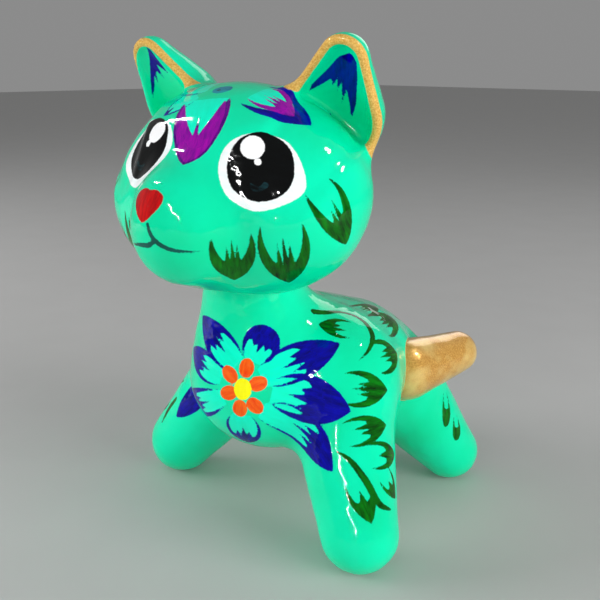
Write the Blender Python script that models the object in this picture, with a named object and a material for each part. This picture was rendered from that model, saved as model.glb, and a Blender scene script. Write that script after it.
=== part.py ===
"""A painted clay cat with a nodding head, in metres, +Z up, origin on the floor under its middle.

The cat faces -Y and its left side is +X. The body is a hollow clay shell with an open neck stub,
four legs and a tail luted on. The head is a second hollow shell with two ears. It hangs inside
on bent wire: a hook set across the neck, a ring on the hook, and a wire eye under the crown.
"""

import math

import bmesh
import bpy
import numpy as np
from mathutils import Matrix, Vector

MM = 0.001
FIGURE_SHIFT = 12.85 * MM         # from the frame of the sizes below to the figure's middle
GAP = 0.3 * MM                    # clearance kept between touching pieces
WALL = 3.6 * MM                   # clay wall of both hollow shells
FLAT = 0.4 * MM                   # how much of a foot's round end is worn flat

# Head, in its own frame: origin at the middle of the skull, face towards -Y
HEAD_Z = 85.8 * MM                # height of the skull's middle
HEAD_TURN = math.radians(14.0)    # the head rests turned a little to the cat's left
SKULL_RADII = Vector((31.7, 21.6, 22.8)) * MM
CHEEK = Vector((16.9, -4.7, -6.2)) * MM
CHEEK_RADIUS = 12.9 * MM
JAW = Vector((0.0, -6.5, -9.3)) * MM
JAW_RADII = Vector((19.6, 15.4, 15.4)) * MM
MUZZLE = Vector((0.0, -22.0, -6.5)) * MM
MUZZLE_RADII = Vector((11.5, 9.7, 12.5)) * MM
HEAD_BLEND = 7.0 * MM
CAVITY_SHIFT = Vector((0.0, -1.4, 0.0)) * MM   # the back wall is thicker, to balance the muzzle

# Ears, in the head's frame
EAR_ROOT = Vector((21.8, 4.2, 15.9)) * MM
EAR_TIP = Vector((26.5, -0.1, 27.5)) * MM
EAR_ROOT_RADIUS = 10.9 * MM
EAR_TIP_RADIUS = 5.5 * MM
EAR_SPLAY = math.radians(14.0)    # how far the dish looks outwards
EAR_RIM = 1.8 * MM                # thickness of the rim around the dish
EAR_RIM_AHEAD = 1.5 * MM          # how far the rim's plane lies in front of the ear's axis
EAR_DISH_FLATNESS = 2.0           # width of the dish over its depth

# Body
NECK_Y = -27.4 * MM
NECK_RADIUS = 12.4 * MM
NECK_TOP_RADIUS = 9.2 * MM
NECK_TOP = 77.0 * MM
NECK_BORE = 5.8 * MM
CHEST = Vector((0.0, -19.0, 38.6)) * MM
CHEST_RADIUS = 20.4 * MM
RUMP = Vector((0.0, 6.0, 36.0)) * MM
RUMP_RADIUS = 15.4 * MM
SHOULDER = Vector((14.3, -12.7, 38.3)) * MM
SHOULDER_RADIUS = 15.5 * MM
FLANK = Vector((9.5, 0.5, 37.5)) * MM
FLANK_RADIUS = 13.8 * MM
FLANK_BLEND = 5.0 * MM
HIP = Vector((4.5, 13.5, 29.0)) * MM
HIP_RADIUS = 13.8 * MM
BODY_BLEND = 8.0 * MM
TORSO_MIDDLE = Vector((0.0, -14.0, 34.0)) * MM   # sees the whole inside of the torso and neck

# Legs: the point on the floor under each foot's ball, for the left side
FRONT_FOOT = Vector((34.8, -25.4, 0.0)) * MM
FRONT_FOOT_RADIUS = 9.0 * MM
REAR_FOOT = Vector((19.8, 26.8, 0.0)) * MM
REAR_FOOT_RADIUS = 8.0 * MM
FRONT_THIGH = 13.5 * MM
REAR_THIGH_ROOT = Vector((9.7, 15.7, 26.2)) * MM
REAR_THIGH = 12.5 * MM

# Tail, swung round to the cat's left
TAIL_ROOT = Vector((19.8, 6.8, 36.5)) * MM
TAIL_END = Vector((22.5, 24.3, 37.8)) * MM
TAIL_ROOT_RADIUS = 7.9 * MM
TAIL_END_RADIUS = 5.5 * MM

# Wire suspension, on the vertical line through the head's centre of mass
PIVOT_Y = -29.6 * MM
OPENING_RADIUS = 16.2 * MM        # hole in the head's underside, around the neck
CROSSBAR_Z = 68.0 * MM
CROSSBAR_WIRE = 0.8 * MM          # wire sizes are radii
HOOK_WIRE = 0.8 * MM
HOOK_BEND = 5.0 * MM              # radius of the crook at the hook's top
HOOK_EYE = 2.2 * MM               # radius of the eye around the crossbar
HOOK_BAR_Z = 98.0 * MM            # top of the crook, where the ring hangs
RING_WIRE = 0.5 * MM
RING_RADIUS = 3.2 * MM
EYE_WIRE = 0.6 * MM
CROWN_HOLE = 1.1 * MM
WASHER_RADIUS = 3.0 * MM
WASHER_THICKNESS = 0.6 * MM
DOT_RADIUS = 3.0 * MM
DOT_HEIGHT = 0.9 * MM

RING_TOP_Z = HOOK_BAR_Z + HOOK_WIRE + RING_WIRE + GAP
EYE_BOTTOM_Z = RING_TOP_Z - 2 * RING_RADIUS + RING_WIRE + EYE_WIRE + GAP

# Colour (linear), roughness and metallic value of each material
TURQUOISE = ((0.004, 0.72, 0.42), 0.16, 0.0)
GOLD = ((0.62, 0.37, 0.11), 0.32, 0.75)
WIRE = ((0.35, 0.34, 0.33), 0.4, 1.0)
DOT_BLUE = ((0.0, 0.35, 0.45), 0.16, 0.0)


# ---------------------------------------------------------------- scene and materials

def clear_scene():
    for thing in list(bpy.data.objects):
        bpy.data.objects.remove(thing, do_unlink=True)


def new_collection(name):
    collection = bpy.data.collections.new(name)
    bpy.context.scene.collection.children.link(collection)
    return collection


def finish_piece(piece, look):
    """Gives a piece its own material and smooth shading, and puts it with the parts."""
    colour, roughness, metallic = look
    material = bpy.data.materials.new(piece.name)
    material.use_nodes = True
    shader = material.node_tree.nodes["Principled BSDF"]
    shader.inputs["Base Color"].default_value = (*colour, 1.0)
    shader.inputs["Roughness"].default_value = roughness
    shader.inputs["Metallic"].default_value = metallic
    material.diffuse_color = (*colour, 1.0)
    piece.data.materials.append(material)
    if piece.type == "MESH":
        piece.data.shade_smooth()
        piece.data.set_sharp_from_angle(angle=math.radians(40))
    PARTS.objects.link(piece)
    return piece


def as_cutter(piece):
    piece.hide_render = True
    piece.display_type = "WIRE"
    CUTTERS.objects.link(piece)
    return piece


def cut(piece, cutter, operation="DIFFERENCE"):
    boolean = piece.modifiers.new(operation.lower() + "_" + cutter.name, "BOOLEAN")
    boolean.operation = operation
    boolean.solver = "EXACT"
    boolean.object = cutter


# ---------------------------------------------------------------- forms as distance fields

def ellipsoid(points, centre, radii):
    offset = points - np.array(centre)
    radii = np.array(radii)
    stretch = np.linalg.norm(offset / radii, axis=1)
    slope = np.linalg.norm(offset / radii ** 2, axis=1) + 1e-9
    return stretch * (stretch - 1.0) / slope


def round_cone(points, start, end, start_radius, end_radius):
    """Distance to the hull of two balls, taken with the ball at the nearest place between them."""
    axis = np.array(end - start)
    length = np.linalg.norm(axis)
    axis /= length
    offset = points - np.array(start)
    along = offset @ axis
    across = np.linalg.norm(offset - along[:, None] * axis, axis=1)
    slant = (start_radius - end_radius) / length
    place = np.clip(along - across * slant / math.sqrt(1 - slant ** 2), 0.0, length)
    radius = start_radius + (end_radius - start_radius) * place / length
    return np.hypot(along - place, across) - radius


def smooth_union(first, second, blend):
    overlap = np.maximum(blend - np.abs(first - second), 0.0)
    return np.minimum(first, second) - overlap ** 2 / (4 * blend)


def mirrored(vector, side):
    return Vector((vector.x * side, vector.y, vector.z))


def head_form(points):
    form = ellipsoid(points, Vector((0, 0, 0)), SKULL_RADII)
    for side in (1, -1):
        cheek = ellipsoid(points, mirrored(CHEEK, side), Vector((CHEEK_RADIUS,) * 3))
        form = smooth_union(form, cheek, HEAD_BLEND)
    form = smooth_union(form, ellipsoid(points, JAW, JAW_RADII), HEAD_BLEND)
    return smooth_union(form, ellipsoid(points, MUZZLE, MUZZLE_RADII), HEAD_BLEND)


def cavity_form(points):
    return head_form(points - np.array(CAVITY_SHIFT))


def ear_outlook(side):
    """The direction an ear's dish looks in, square to the ear's own axis."""
    rise = (mirrored(EAR_TIP, side) - mirrored(EAR_ROOT, side)).normalized()
    outlook = Vector((side * math.sin(EAR_SPLAY), -math.cos(EAR_SPLAY), 0.0))
    return (outlook - rise * outlook.dot(rise)).normalized()


def ear_form(points, side):
    """A round cone, cut flat a little in front of its axis."""
    ahead = (points - np.array(mirrored(EAR_ROOT, side))) @ np.array(ear_outlook(side)) - EAR_RIM_AHEAD
    cone = round_cone(points, mirrored(EAR_ROOT, side), mirrored(EAR_TIP, side),
                      EAR_ROOT_RADIUS, EAR_TIP_RADIUS)
    return np.maximum(cone, ahead)


def ear_dish_form(points, side):
    """The hollow in an ear's front: the ear's cone, narrower by the rim and flattened behind it."""
    outlook = np.array(ear_outlook(side))
    ahead = (points - np.array(mirrored(EAR_ROOT, side))) @ outlook
    depth = np.minimum(ahead - EAR_RIM_AHEAD, 0.0) * EAR_DISH_FLATNESS
    stretched = points + np.outer(depth - ahead, outlook)
    return round_cone(stretched, mirrored(EAR_ROOT, side), mirrored(EAR_TIP, side),
                      EAR_ROOT_RADIUS - EAR_RIM, EAR_TIP_RADIUS - EAR_RIM)


def torso_form(points):
    form = round_cone(points, CHEST, RUMP, CHEST_RADIUS, RUMP_RADIUS)
    for side in (1, -1):
        shoulder = mirrored(SHOULDER, side)
        hip = mirrored(HIP, side)
        ball = np.linalg.norm(points - np.array(shoulder), axis=1) - SHOULDER_RADIUS
        form = smooth_union(form, ball, BODY_BLEND)
        ball = np.linalg.norm(points - np.array(hip), axis=1) - HIP_RADIUS
        form = smooth_union(form, ball, BODY_BLEND)
        ball = np.linalg.norm(points - np.array(mirrored(FLANK, side)), axis=1) - FLANK_RADIUS
        form = smooth_union(form, ball, FLANK_BLEND)
    neck = round_cone(points, Vector((0, NECK_Y, CHEST.z)), Vector((0, NECK_Y, NECK_TOP + NECK_RADIUS)),
                      NECK_RADIUS + 1.5 * MM, NECK_TOP_RADIUS)
    return smooth_union(form, neck, BODY_BLEND)


# ---------------------------------------------------------------- solids

def mesh_object(name, made, location):
    mesh = bpy.data.meshes.new(name)
    made.to_mesh(mesh)
    made.free()
    piece = bpy.data.objects.new(name, mesh)
    piece.location = location
    return piece


def shaped_ball(name, centre, form, segments, rings, growth=0.0, reach=63 * MM):
    """A UV sphere whose points move along their own rays to where the form's distance is growth."""
    made = bmesh.new()
    bmesh.ops.create_uvsphere(made, u_segments=segments, v_segments=rings, radius=1.0)
    rays = np.array([vert.co[:] for vert in made.verts])
    near = np.zeros(len(rays))
    step = reach / 90
    for length in np.arange(1, 90) * step:
        inside = form(np.array(centre) + rays * length) < growth
        near = np.where(inside, length, near)
    far = near + step
    for _ in range(20):
        middle = (near + far) / 2
        inside = form(np.array(centre) + rays * middle[:, None]) < growth
        near = np.where(inside, middle, near)
        far = np.where(inside, far, middle)
    for vert, ray, length in zip(made.verts, rays, near):
        vert.co = Vector(ray) * length
    return mesh_object(name, made, centre)


def rod(name, start, end, radius, segments=24):
    """A plain cylinder between two points."""
    made = bmesh.new()
    bmesh.ops.create_cone(made, cap_ends=True, segments=segments, radius1=radius, radius2=radius,
                          depth=(end - start).length)
    turn = (end - start).to_track_quat("Z", "Y").to_matrix().to_4x4()
    bmesh.ops.transform(made, matrix=turn, verts=made.verts)
    return mesh_object(name, made, (start + end) / 2)


def block(name, low, high):
    made = bmesh.new()
    bmesh.ops.create_cube(made, size=1.0)
    bmesh.ops.scale(made, vec=high - low, verts=made.verts)
    return mesh_object(name, made, (low + high) / 2)


def wire(name, route, radius, location):
    """A bent wire through the route's points, with filled ends."""
    curve = bpy.data.curves.new(name, "CURVE")
    curve.dimensions = "3D"
    curve.bevel_depth = radius
    curve.bevel_resolution = 2
    curve.use_fill_caps = True
    spline = curve.splines.new("POLY")
    spline.points.add(len(route) - 1)
    for point, place in zip(spline.points, route):
        point.co = (*place, 1.0)
    piece = bpy.data.objects.new(name, curve)
    piece.location = location
    return piece


def arc(centre, radius, first, last, steps):
    """Points of an arc in the YZ plane, angles in degrees from +Y towards +Z."""
    angles = np.radians(np.linspace(first, last, steps))
    return [centre + Vector((0, math.cos(a), math.sin(a))) * radius for a in angles]


# ---------------------------------------------------------------- the body

def add_floor():
    return as_cutter(block("floor", Vector((-80, -80, -40)) * MM, Vector((80, 80, 0)) * MM))


def add_torso():
    centre = TORSO_MIDDLE
    torso = shaped_ball("torso_shell", centre, torso_form, 34, 26)
    hollow = as_cutter(shaped_ball("torso_hollow", centre, torso_form, 22, 16, growth=-WALL))
    lid = as_cutter(block("neck_lid", Vector((-20 * MM, -55 * MM, NECK_TOP)),
                          Vector((20 * MM, 0, NECK_TOP + 40 * MM))))
    neck_axis = Vector((0, NECK_Y, 0))
    bore = as_cutter(rod("neck_bore", neck_axis + Vector((0, 0, CHEST.z)),
                         neck_axis + Vector((0, 0, NECK_TOP + 5 * MM)), NECK_BORE))
    hole = as_cutter(rod("crossbar_hole", Vector((-16 * MM, NECK_Y, CROSSBAR_Z)),
                         Vector((16 * MM, NECK_Y, CROSSBAR_Z)), CROSSBAR_WIRE + GAP, 12))
    for cutter in (hollow, lid, bore, hole):
        cut(torso, cutter)
    clearance = as_cutter(shaped_ball("torso_clearance", centre, torso_form, 34, 26, growth=1.5 * GAP))
    return finish_piece(torso, TURQUOISE), clearance


def add_leg(name, side, root, root_radius, foot, foot_radius, cutters):
    start = mirrored(root, side)
    end = mirrored(foot, side) + Vector((0, 0, foot_radius - FLAT))

    def form(points):
        return round_cone(points, start, end, root_radius, foot_radius)

    leg = shaped_ball(name, start.lerp(end, 0.6), form, 18, 14)
    for cutter in cutters:
        cut(leg, cutter)
    return finish_piece(leg, TURQUOISE)


def add_legs(clearance, tail_clearance):
    floor = add_floor()
    for side, word in ((1, "left"), (-1, "right")):
        edge = Vector((GAP / 2 * side, 0, 0))
        low = Vector((-60 * MM if side > 0 else edge.x, -60 * MM, -20 * MM))
        high = Vector((edge.x if side > 0 else 60 * MM, 60 * MM, 70 * MM))
        other_half = as_cutter(block("other_half_of_" + word, low, high))
        add_leg("front_" + word + "_leg", side, SHOULDER, FRONT_THIGH, FRONT_FOOT,
                FRONT_FOOT_RADIUS, (clearance, floor))
        rear_cutters = [clearance, floor, other_half]
        if side > 0:
            rear_cutters.append(tail_clearance)
        add_leg("rear_" + word + "_leg", side, REAR_THIGH_ROOT, REAR_THIGH, REAR_FOOT,
                REAR_FOOT_RADIUS, rear_cutters)


def add_tail(clearance):
    def form(points):
        return round_cone(points, TAIL_ROOT, TAIL_END, TAIL_ROOT_RADIUS, TAIL_END_RADIUS)

    middle = TAIL_ROOT.lerp(TAIL_END, 0.5)
    tail = shaped_ball("tail", middle, form, 18, 14)
    cut(tail, clearance)
    finish_piece(tail, GOLD)
    return as_cutter(shaped_ball("tail_clearance", middle, form, 18, 14, growth=1.5 * GAP))


# ---------------------------------------------------------------- the wire suspension

def add_crossbar():
    reach = NECK_RADIUS - 4.0 * MM
    middle = Vector((0, NECK_Y, CROSSBAR_Z))
    route = [Vector((x, 0, 0)) for x in np.linspace(-reach, reach, 5)]
    return finish_piece(wire("neck_crossbar", route, CROSSBAR_WIRE, middle), WIRE)


def add_hook():
    """A wire with an eye around the crossbar, a post, and a crook above that carries the ring."""
    post_y = HOOK_BEND
    eye_centre = Vector((0, NECK_Y - PIVOT_Y, CROSSBAR_Z - HOOK_BAR_Z))
    route = arc(eye_centre, HOOK_EYE, 110, 350, 12)
    route += [Vector((0, post_y, eye_centre.z + 6 * MM)), Vector((0, post_y, -HOOK_BEND))]
    route += arc(Vector((0, 0, -HOOK_BEND)), HOOK_BEND, 10, 118, 10)
    hook = wire("neck_hook", route, HOOK_WIRE, Vector((0, PIVOT_Y, HOOK_BAR_Z)))
    return finish_piece(hook, WIRE)


def add_ring():
    """The link between hook and head, standing across the cat. Its origin is on the nod axis."""
    bpy.ops.mesh.primitive_torus_add(major_radius=RING_RADIUS, minor_radius=RING_WIRE,
                                     major_segments=20, minor_segments=6)
    ring = bpy.context.object
    ring.name = ring.data.name = "hanging_ring"
    ring.data.transform(Matrix.Translation((0, 0, -RING_RADIUS)) @ Matrix.Rotation(math.pi / 2, 4, "X"))
    ring.location = (0, PIVOT_Y, RING_TOP_Z)
    for collection in list(ring.users_collection):
        collection.objects.unlink(ring)
    return finish_piece(ring, WIRE)


def height_above_axis(form, growth, away=0.0):
    """Lowest height over the skull's middle at which the form ends, this far from the turning axis."""
    heights = np.linspace(0, 40 * MM, 4001)
    ends = []
    for x, y in ((away, 0), (-away, 0), (0, away), (0, -away)):
        column = np.column_stack((np.full_like(heights, x), np.full_like(heights, y), heights))
        ends.append(float(heights[form(column) < growth].max()))
    return min(ends)


def add_crown_eye(outside, washer_top):
    """A wire that hooks under the ring, rounds the crook's end and rises through the crown."""
    bend = [(2.4, 0.55), (1.2, 0.13), (0.0, 0.0), (-1.2, 0.13), (-3.0, 0.4), (-6.0, 1.2),
            (-7.4, 2.6), (-7.6, 5.0), (-6.6, 6.2), (-4.6, 6.9), (-2.2, 7.2), (-0.6, 7.5), (0.0, 8.3)]
    route = [Vector((0, y, z)) * MM for y, z in bend]
    stem_top = outside - DOT_HEIGHT - 2 * GAP - EYE_BOTTOM_Z
    route += [Vector((0, 0, z)) for z in np.linspace(route[-1].z, stem_top, 4)[1:]]
    eye = wire("crown_eye", route, EYE_WIRE, Vector((0, PIVOT_Y, EYE_BOTTOM_Z)))
    finish_piece(eye, WIRE)

    washer = rod("crown_washer", Vector((0, PIVOT_Y, washer_top - WASHER_THICKNESS)),
                 Vector((0, PIVOT_Y, washer_top)), WASHER_RADIUS)
    hole = as_cutter(rod("washer_hole", Vector((0, PIVOT_Y, washer_top - 2 * WASHER_THICKNESS)),
                         Vector((0, PIVOT_Y, washer_top + WASHER_THICKNESS)), EYE_WIRE + GAP, 16))
    cut(washer, hole)
    finish_piece(washer, WIRE)


# ---------------------------------------------------------------- the head

def on_head(piece, axis):
    """Hangs a piece made in the head's own frame on the empty of the turning axis."""
    piece.parent = axis
    return piece


def add_head():
    axis = bpy.data.objects.new("head_turn_axis", None)
    axis.location = (0, PIVOT_Y, HEAD_Z)
    axis.rotation_euler = (0, 0, HEAD_TURN)
    PARTS.objects.link(axis)

    middle = Vector((0, 0, 0))
    head = on_head(shaped_ball("head_shell", middle, head_form, 36, 26), axis)
    hollow = on_head(shaped_ball("head_hollow", middle, cavity_form, 24, 18, growth=-WALL), axis)
    clearance = on_head(shaped_ball("head_clearance", middle, head_form, 36, 26, growth=GAP), axis)
    top = HEAD_Z + height_above_axis(head_form, 0.0)
    inside = HEAD_Z + height_above_axis(cavity_form, -WALL, WASHER_RADIUS)
    foot = Vector((0, PIVOT_Y, 0))
    opening = rod("head_opening", foot + Vector((0, 0, 50 * MM)), foot + Vector((0, 0, HEAD_Z - 6 * MM)),
                  OPENING_RADIUS, 40)
    crown_hole = rod("crown_hole", foot + Vector((0, 0, HEAD_Z)), foot + Vector((0, 0, top + 5 * MM)),
                     CROWN_HOLE, 16)
    seat = rod("dot_seat", foot + Vector((0, 0, top - DOT_HEIGHT - GAP)), foot + Vector((0, 0, top + 5 * MM)),
               DOT_RADIUS + GAP, 20)
    for cutter in (hollow, opening, crown_hole, seat):
        cut(head, as_cutter(cutter))
    as_cutter(clearance)
    finish_piece(head, TURQUOISE)
    add_crown_eye(top, inside - 2 * GAP)

    dot = rod("crown_plug", foot + Vector((0, 0, top - DOT_HEIGHT)), foot + Vector((0, 0, top)),
              DOT_RADIUS, 20)
    dot.parent = axis
    dot.location = Vector((0, 0, dot.location.z - HEAD_Z))
    finish_piece(dot, DOT_BLUE)

    for side, word in ((1, "left"), (-1, "right")):
        centre = mirrored(EAR_ROOT, side).lerp(mirrored(EAR_TIP, side), 0.5)
        ear = on_head(shaped_ball(word + "_ear", centre, lambda points: ear_form(points, side), 20, 16), axis)
        dish = on_head(shaped_ball(word + "_ear_dish", centre, lambda points: ear_dish_form(points, side),
                                   16, 12, reach=30 * MM), axis)
        cut(ear, clearance)
        cut(ear, as_cutter(dish))
        finish_piece(ear, TURQUOISE)


def centre_figure():
    """Moves the whole figure so that the origin lies under its middle."""
    for piece in list(PARTS.objects) + list(CUTTERS.objects):
        if piece.parent is None:
            piece.location.y += FIGURE_SHIFT


clear_scene()
PARTS = new_collection("nodding_cat")
CUTTERS = new_collection("cutters")
_, torso_clearance = add_torso()
add_legs(torso_clearance, add_tail(torso_clearance))
add_crossbar()
add_hook()
add_ring()
add_head()
centre_figure()
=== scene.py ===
"""Looks of the painted clay cat with the nodding head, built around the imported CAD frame.

Forms and paint are worked out in millimetres and scaled to metres when a mesh is made. The body
and tail skins are worked out FIGURE_SHIFT ahead of the row frame and moved back when they are
placed. The head skin is in the head's own frame: origin at the skull's middle, face towards -Y.
The clay forms are distance fields, meshed on a grid. The paint is a set of layers, each a vertex
attribute that holds the distance in millimetres to the layer's outline.
"""

import math

import bpy
import numpy as np
from mathutils import Matrix, Quaternion, Vector


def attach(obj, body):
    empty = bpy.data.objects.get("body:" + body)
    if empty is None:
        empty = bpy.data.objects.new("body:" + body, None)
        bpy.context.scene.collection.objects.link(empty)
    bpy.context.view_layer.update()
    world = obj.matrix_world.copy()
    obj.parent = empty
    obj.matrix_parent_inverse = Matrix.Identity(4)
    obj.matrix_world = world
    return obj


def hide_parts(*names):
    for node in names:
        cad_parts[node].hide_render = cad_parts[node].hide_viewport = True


MM = 0.001

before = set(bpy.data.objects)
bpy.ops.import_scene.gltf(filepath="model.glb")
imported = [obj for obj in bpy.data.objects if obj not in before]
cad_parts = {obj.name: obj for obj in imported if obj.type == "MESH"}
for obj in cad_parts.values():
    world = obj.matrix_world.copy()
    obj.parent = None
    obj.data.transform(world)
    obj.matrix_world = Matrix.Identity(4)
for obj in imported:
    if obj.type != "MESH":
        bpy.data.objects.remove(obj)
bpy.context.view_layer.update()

# Head, in its own frame (mm)
HEAD_TURN = math.radians(14.0)
HEAD_Z = 85.8
PIVOT_Y = -29.6
FIGURE_SHIFT = 12.85              # how far back the placed figure stands from these sizes
SKULL_RADII = (31.7, 21.6, 22.8)
CHEEK = (16.9, -4.7, -6.2)
CHEEK_RADIUS = 12.9
JAW = (0.0, -6.5, -9.3)
JAW_RADII = (19.6, 15.4, 15.4)
MUZZLE = (0.0, -22.0, -6.5)
MUZZLE_RADII = (11.5, 9.7, 12.5)
CHEEK_BLEND = 8.0
MUZZLE_BLEND = 6.0
EAR_BLEND = 5.0
HEAD_WALL = 3.6
HOLLOW_SHIFT = (0.0, -1.4, 0.0)   # the hollow's middle, a little ahead of the skull's
HOLLOW_BLEND = 0.6
OPENING_RADIUS = 16.2
OPENING_TOP = -6.0                # the opening in the underside is cut up to here
OPENING_BLEND = 1.2
HEAD_WOBBLE = 0.10
EAR_ROOT = (21.8, 4.2, 15.9)
EAR_TIP = (26.5, -0.1, 27.4)
EAR_ROOT_RADIUS = 10.9
EAR_TIP_RADIUS = 5.5
EAR_SPLAY = math.radians(14.0)
EAR_RIM = 2.0
EAR_RIM_AHEAD = 1.5
EAR_FRONT_BLEND = 1.4
EAR_DISH_FLATNESS = 2.0
EAR_DISH_BLEND = 1.6
DISH_DEPTH_IN_HEAD = -0.6         # how far the dish may bite into the head itself
DISH_FOOT_BLEND = 3.0
GOLD_LINE = 1.4                   # the ear's gold rim, from its front edge back
GOLD_INSIDE = 0.35                # and how far it runs over into the dish
GOLD_OFF_HEAD = 1.0               # the gold stops this far from the skull
FAR_GOLD_END = 17.0               # below this height the right ear's outer gold line tapers off
FAR_GOLD_TAPER = 0.25
EYE_PAD = (16.2, -16.4, 6.8)
EYE_PAD_RADIUS = 11.6
EYE_PAD_EDGE = 3.6
EYE_PAD_HEIGHT = 0.28

# Body (mm)
NECK_Y = -27.4
NECK_RADIUS = 13.9
NECK_TOP_RADIUS = 9.2
NECK_TOP = 77.0
NECK_TOP_BLEND = 1.5
NECK_TAPER_END = NECK_TOP + 12.4  # the neck's cone runs on to here and is cut off at its top
NECK_BORE = 5.8
NECK_BORE_FLOOR = 50.0
NECK_BORE_BLEND = 1.2
CHEST = (0.0, -19.0, 38.6)
CHEST_RADIUS = 20.4
RUMP = (0.0, 6.0, 36.0)
RUMP_RADIUS = 15.4
SHOULDER = (14.3, -12.7, 38.3)
SHOULDER_RADIUS = 15.5
FLANK = (9.5, 0.5, 37.5)
FLANK_RADIUS = 13.8
FLANK_BLEND = 5.0
HIP = (4.5, 13.5, 29.0)
HIP_RADIUS = 13.8
BODY_BLEND = 8.0
FRONT_FOOT = (34.8, -25.4, 8.6)
FRONT_FOOT_RADIUS = 9.0
REAR_FOOT = (19.8, 26.8, 7.6)
REAR_FOOT_RADIUS = 8.0
FRONT_THIGH = 13.5
REAR_THIGH_ROOT = (9.7, 15.7, 26.2)
REAR_THIGH = 12.5
LEG_BLEND = 6.0
FOOT_BLEND = 0.5                  # the soft edge of the flat under each foot
BODY_WOBBLE = 0.12
TAIL_ROOT = (19.8, 6.8, 36.5)
TAIL_END = (22.5, 24.3, 37.8)
TAIL_ROOT_RADIUS = 7.9
TAIL_END_RADIUS = 5.5
TAIL_WOBBLE = 0.10
TAIL_BLEND = 2.5
TAIL_CORE_INSET = 1.6             # the body's own stub inside the tail, which makes the fillet
TAIL_CORE_END_RADIUS = 0.5
GOLD_COLLAR = 0.15                # how far the gold paint runs onto the rump round the tail
BODY_MIDDLE = (0.0, -14.0, 34.0)

SKIN_STEP = 1.05                  # grid step of the skins, halved afterwards by one subdivision
BODY_GRID = ((-46, -46, -2), (46, 38, 80))
HEAD_GRID = ((-35, -34, -26), (35, 24, 36))
TAIL_GRID = ((8, -5, 24), (34, 34, 48))
RELAX_SHARE = 0.5


# ---------------------------------------------------------------- distance fields

def ellipsoid(points, centre, radii):
    offset = points - np.array(centre)
    radii = np.array(radii)
    stretch = np.linalg.norm(offset / radii, axis=1)
    slope = np.linalg.norm(offset / radii ** 2, axis=1) + 1e-9
    return stretch * (stretch - 1.0) / slope


def ball(points, centre, radius):
    return np.linalg.norm(points - np.array(centre), axis=1) - radius


def upright_cylinder(points, centre_y, radius):
    return np.hypot(points[:, 0], points[:, 1] - centre_y) - radius


def round_cone(points, start, end, start_radius, end_radius):
    """Distance to the hull of two balls."""
    start, end = np.array(start), np.array(end)
    length = np.linalg.norm(end - start)
    axis = (end - start) / length
    offset = points - start
    along = offset @ axis
    across = np.linalg.norm(offset - along[:, None] * axis, axis=1)
    slant = (start_radius - end_radius) / length
    place = np.clip(along - across * slant / math.sqrt(1 - slant ** 2), 0.0, length)
    radius = start_radius + (end_radius - start_radius) * place / length
    return np.hypot(along - place, across) - radius


def smooth_union(first, second, blend):
    overlap = np.maximum(blend - np.abs(first - second), 0.0)
    return np.minimum(first, second) - overlap ** 2 / (4 * blend)


def smooth_cut(form, cutter, blend):
    return -smooth_union(-form, cutter, blend)


def mirrored(place, side):
    return (place[0] * side, place[1], place[2])


def hand_wobble(points, amount):
    """The unevenness of a form pressed and smoothed by hand."""
    x, y, z = points.T
    wave = np.sin(0.31 * x + 1.3) * np.sin(0.27 * y + 0.4) * np.sin(0.35 * z + 2.1)
    ripple = np.sin(0.83 * x - 0.4 * z + 0.2) * np.sin(0.71 * y + 0.5 * x + 1.9) * np.sin(0.77 * z + 0.3)
    return amount * (wave + 0.35 * ripple)


def head_solid(points):
    form = ellipsoid(points, (0, 0, 0), SKULL_RADII)
    for side in (1, -1):
        form = smooth_union(form, ball(points, mirrored(CHEEK, side), CHEEK_RADIUS), CHEEK_BLEND)
    form = smooth_union(form, ellipsoid(points, JAW, JAW_RADII), CHEEK_BLEND)
    return smooth_union(form, ellipsoid(points, MUZZLE, MUZZLE_RADII), MUZZLE_BLEND)


def ear_outlook(side):
    """The direction an ear's dish looks in, square to the ear's own axis."""
    rise = np.array(mirrored(EAR_TIP, side)) - np.array(mirrored(EAR_ROOT, side))
    rise /= np.linalg.norm(rise)
    outlook = np.array((side * math.sin(EAR_SPLAY), -math.cos(EAR_SPLAY), 0.0))
    outlook -= rise * (outlook @ rise)
    return outlook / np.linalg.norm(outlook)


def ear_cone(points, side, inset):
    return round_cone(points, mirrored(EAR_ROOT, side), mirrored(EAR_TIP, side),
                      EAR_ROOT_RADIUS - inset, EAR_TIP_RADIUS - inset)


def ear_ahead(points, side):
    return (points - np.array(mirrored(EAR_ROOT, side))) @ ear_outlook(side)


def ear_solid(points, side):
    """A round cone, its front cut off with a soft edge."""
    front = EAR_RIM_AHEAD - ear_ahead(points, side)
    return smooth_cut(ear_cone(points, side, 0.0), front, EAR_FRONT_BLEND)


def ear_dish(points, side):
    """The hollow in an ear's front: the ear's cone, narrower by the rim and flattened behind it."""
    ahead = ear_ahead(points, side)
    depth = np.minimum(ahead - EAR_RIM_AHEAD, 0.0) * EAR_DISH_FLATNESS
    hollow = ear_cone(points + np.outer(depth - ahead, ear_outlook(side)), side, EAR_RIM)
    return smooth_cut(hollow, head_solid(points) - DISH_DEPTH_IN_HEAD, DISH_FOOT_BLEND)


def eye_pad(points, side):
    """A low round swelling under an eye, with a soft step at its edge."""
    away = np.linalg.norm(points - np.array(mirrored(EYE_PAD, side)), axis=1)
    share = np.clip((EYE_PAD_RADIUS - away) / EYE_PAD_EDGE, 0.0, 1.0)
    return EYE_PAD_HEIGHT * share * share * (3 - 2 * share)


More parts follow.
